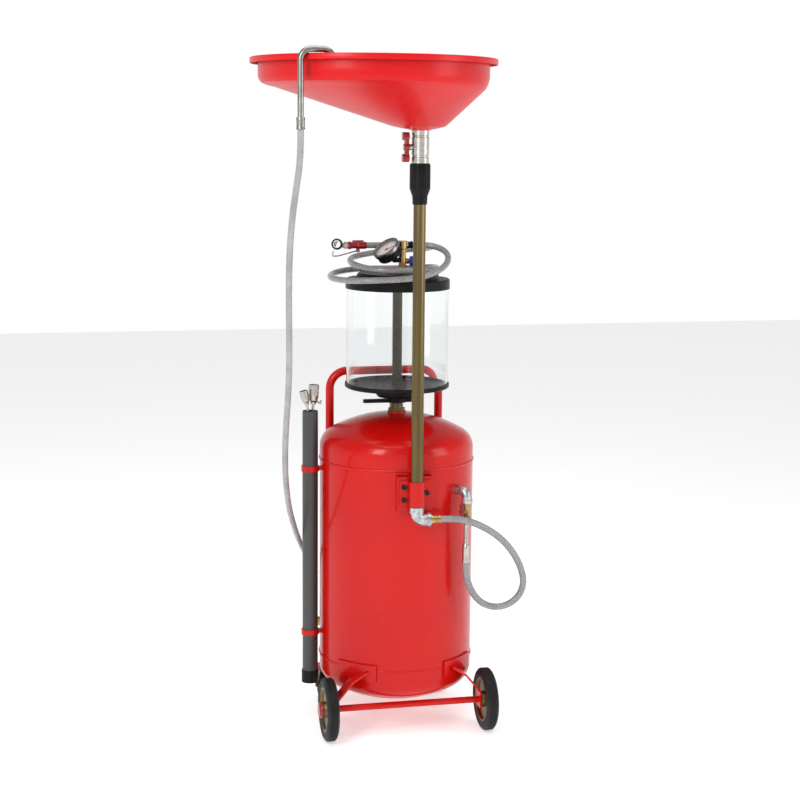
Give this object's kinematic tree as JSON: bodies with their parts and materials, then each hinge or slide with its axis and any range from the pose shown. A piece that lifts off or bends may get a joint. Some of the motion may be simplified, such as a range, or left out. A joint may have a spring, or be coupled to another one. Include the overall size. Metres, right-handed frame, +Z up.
{
  "type": "mobile waste oil drainer with drain pan",
  "caption": "Wheeled waste-oil drainer: red tank, clear evacuation chamber, telescopic mast with swivelling drain pan, hoses, suction probes and gauge.",
  "frame": {"origin": "centre of the footprint on the ground, under the rigid machine", "axes": "+Z up, -Y the front where the mast stands, +X the right-hand side seen from the front"},
  "size_m": [0.7, 0.7218, 1.7085],
  "materials": {
    "red_paint": "gloss enamel",
    "clear_acrylic": "clear, polished",
    "black_plastic": "satin moulded",
    "yellow_zinc": "yellow zinc plate",
    "galvanised": "satin galvanised",
    "brass": "machined",
    "nickel": "satin nickel plate",
    "steel": "brushed",
    "black_steel": "black oxide",
    "black_rubber": "matt",
    "tyre_rubber": "matt",
    "grey_pvc": "satin extruded",
    "clear_hose": "clear braided hose",
    "gauge_face": "printed white",
    "blue_plastic": "gloss moulded",
    "red_plastic": "gloss dipped"
  },
  "bodies": {
    "machine": {"axle_legs": "red_paint", "caster_mounts": "red_paint", "chamber_base": "black_plastic", "chamber_centre_tube": "yellow_zinc", "chamber_cylinder": "clear_acrylic", "chamber_gaskets": "black_rubber", "chamber_lid": "black_plastic", "chamber_neck": "yellow_zinc", "clamp_bolts": "black_steel", "coupler_body": "red_plastic", "coupler_socket": "nickel", "discharge_hose": "clear_hose", "discharge_valve": "brass", "front_axle": "red_paint", "gauge_case": "black_plastic", "gauge_dial": "gauge_face", "gauge_lens": "clear_acrylic", "lid_manifold": "brass", "line_connector": "black_plastic", "mast_bracket": "red_paint", "mast_clamp": "red_paint", "mast_elbow": "galvanised", "mast_outer_tube": "yellow_zinc", "probe_holder_cap": "black_plastic", "probe_holder_rings": "red_paint", "probe_holder_tube": "grey_pvc", "push_handle": "red_paint", "return_hose": "clear_hose", "return_hose_ends": "brass", "return_valve_body": "brass", "suction_hose": "clear_hose", "tank_barrel": "red_paint", "tank_bottom_head": "red_paint", "tank_dip_tube": "steel", "tank_fittings": "brass", "tank_port_elbow": "galvanised", "tank_top_head": "red_paint"},
    "wheel_left": {"tyre_left": "tyre_rubber", "wheel_rim_left": "yellow_zinc"},
    "wheel_right": {"tyre_right": "tyre_rubber", "wheel_rim_right": "yellow_zinc"},
    "caster_left": {"caster_fork_left": "yellow_zinc"},
    "caster_right": {"caster_fork_right": "yellow_zinc"},
    "caster_wheel_left": {"caster_wheel_left": "black_rubber"},
    "caster_wheel_right": {"caster_wheel_right": "black_rubber"},
    "mast": {"mast_inner_tube": "steel"},
    "pan": {"pan_shell": "red_paint", "pan_valve_body": "nickel", "discharge_hook": "galvanised"},
    "pan_valve": {"pan_valve_ball": "steel", "pan_valve_handle": "red_plastic"},
    "lock_sleeve": {"mast_lock_sleeve": "black_plastic"},
    "return_valve": {"return_valve_lever": "red_plastic"},
    "chamber_drain": {"drain_valve_lever": "black_plastic"},
    "bleed_valve": {"bleed_knob": "blue_plastic"},
    "gauge_pointer": {"gauge_needle": "black_plastic"},
    "probe_slim": {"slim_probe": "nickel"},
    "probe_wide": {"wide_probe": "nickel"},
    "discharge_lever": {"discharge_valve_lever": "red_plastic"},
    "trigger": {"coupler_trigger": "steel"}
  },
  "joints": [
    {"name": "wheel_left_spin", "type": "hinge", "parent": "machine", "child": "wheel_left", "pos_m": [-0.1195, 0.0011, 0.08], "axis": [1, 0, 0], "continuous": true},
    {"name": "wheel_right_spin", "type": "hinge", "parent": "machine", "child": "wheel_right", "pos_m": [0.2925, 0.0011, 0.08], "axis": [1, 0, 0], "continuous": true},
    {"name": "caster_left_swivel", "type": "hinge", "parent": "machine", "child": "caster_left", "pos_m": [-0.0755, 0.3011, 0.09], "axis": [0, 0, 1], "continuous": true},
    {"name": "caster_right_swivel", "type": "hinge", "parent": "machine", "child": "caster_right", "pos_m": [0.2485, 0.3011, 0.09], "axis": [0, 0, 1], "continuous": true},
    {"name": "caster_left_roll", "type": "hinge", "parent": "caster_left", "child": "caster_wheel_left", "pos_m": [-0.0755, 0.3231, 0.0375], "axis": [1, 0, 0], "continuous": true},
    {"name": "caster_right_roll", "type": "hinge", "parent": "caster_right", "child": "caster_wheel_right", "pos_m": [0.2485, 0.3231, 0.0375], "axis": [1, 0, 0], "continuous": true},
    {"name": "mast_raise", "type": "slide", "parent": "machine", "child": "mast", "axis": [0, 0, 1], "range_m": [0, 0.5]},
    {"name": "pan_swivel", "type": "hinge", "parent": "mast", "child": "pan", "pos_m": [0.0865, -0.0689, 1.455], "axis": [0, 0, 1], "range_deg": [-45, 45]},
    {"name": "pan_valve_turn", "type": "hinge", "parent": "pan", "child": "pan_valve", "pos_m": [0.0865, -0.0689, 1.488], "axis": [1, 0, 0], "range_deg": [0, 90]},
    {"name": "lock_sleeve_twist", "type": "hinge", "parent": "machine", "child": "lock_sleeve", "pos_m": [0.0865, -0.0689, 1.4], "axis": [0, 0, 1], "range_deg": [0, 90]},
    {"name": "return_valve_turn", "type": "hinge", "parent": "machine", "child": "return_valve", "pos_m": [0.22569, -0.027, 0.585], "axis": [-0.8039, -0.5948, 0], "range_deg": [0, 90]},
    {"name": "chamber_drain_turn", "type": "hinge", "parent": "machine", "child": "chamber_drain", "pos_m": [0.0865, 0.1611, 0.842], "axis": [0, 0, -1], "range_deg": [0, 90]},
    {"name": "bleed_valve_turn", "type": "hinge", "parent": "machine", "child": "bleed_valve", "pos_m": [0.0985, 0.1641, 1.199], "axis": [0.9917, -0.1289, 0], "range_deg": [0, 270]},
    {"name": "gauge_pointer_turn", "type": "hinge", "parent": "machine", "child": "gauge_pointer", "pos_m": [0.0485, 0.1401, 1.237], "axis": [0.5844, 0.2428, -0.7743], "range_deg": [0, 240]},
    {"name": "probe_slim_lift", "type": "slide", "parent": "machine", "child": "probe_slim", "axis": [0, 0, 1], "range_m": [0, 0.62]},
    {"name": "probe_wide_lift", "type": "slide", "parent": "machine", "child": "probe_wide", "axis": [0, 0, 1], "range_m": [0, 0.66]},
    {"name": "discharge_valve_turn", "type": "hinge", "parent": "machine", "child": "discharge_lever", "pos_m": [-0.11194, 0.2851, 0.277], "axis": [0, -1, 0], "range_deg": [0, 90]},
    {"name": "trigger_squeeze", "type": "hinge", "parent": "machine", "child": "trigger", "pos_m": [-0.0115, 0.1911, 1.2242], "axis": [0, -1, 0], "range_deg": [0, 15]}
  ]
}
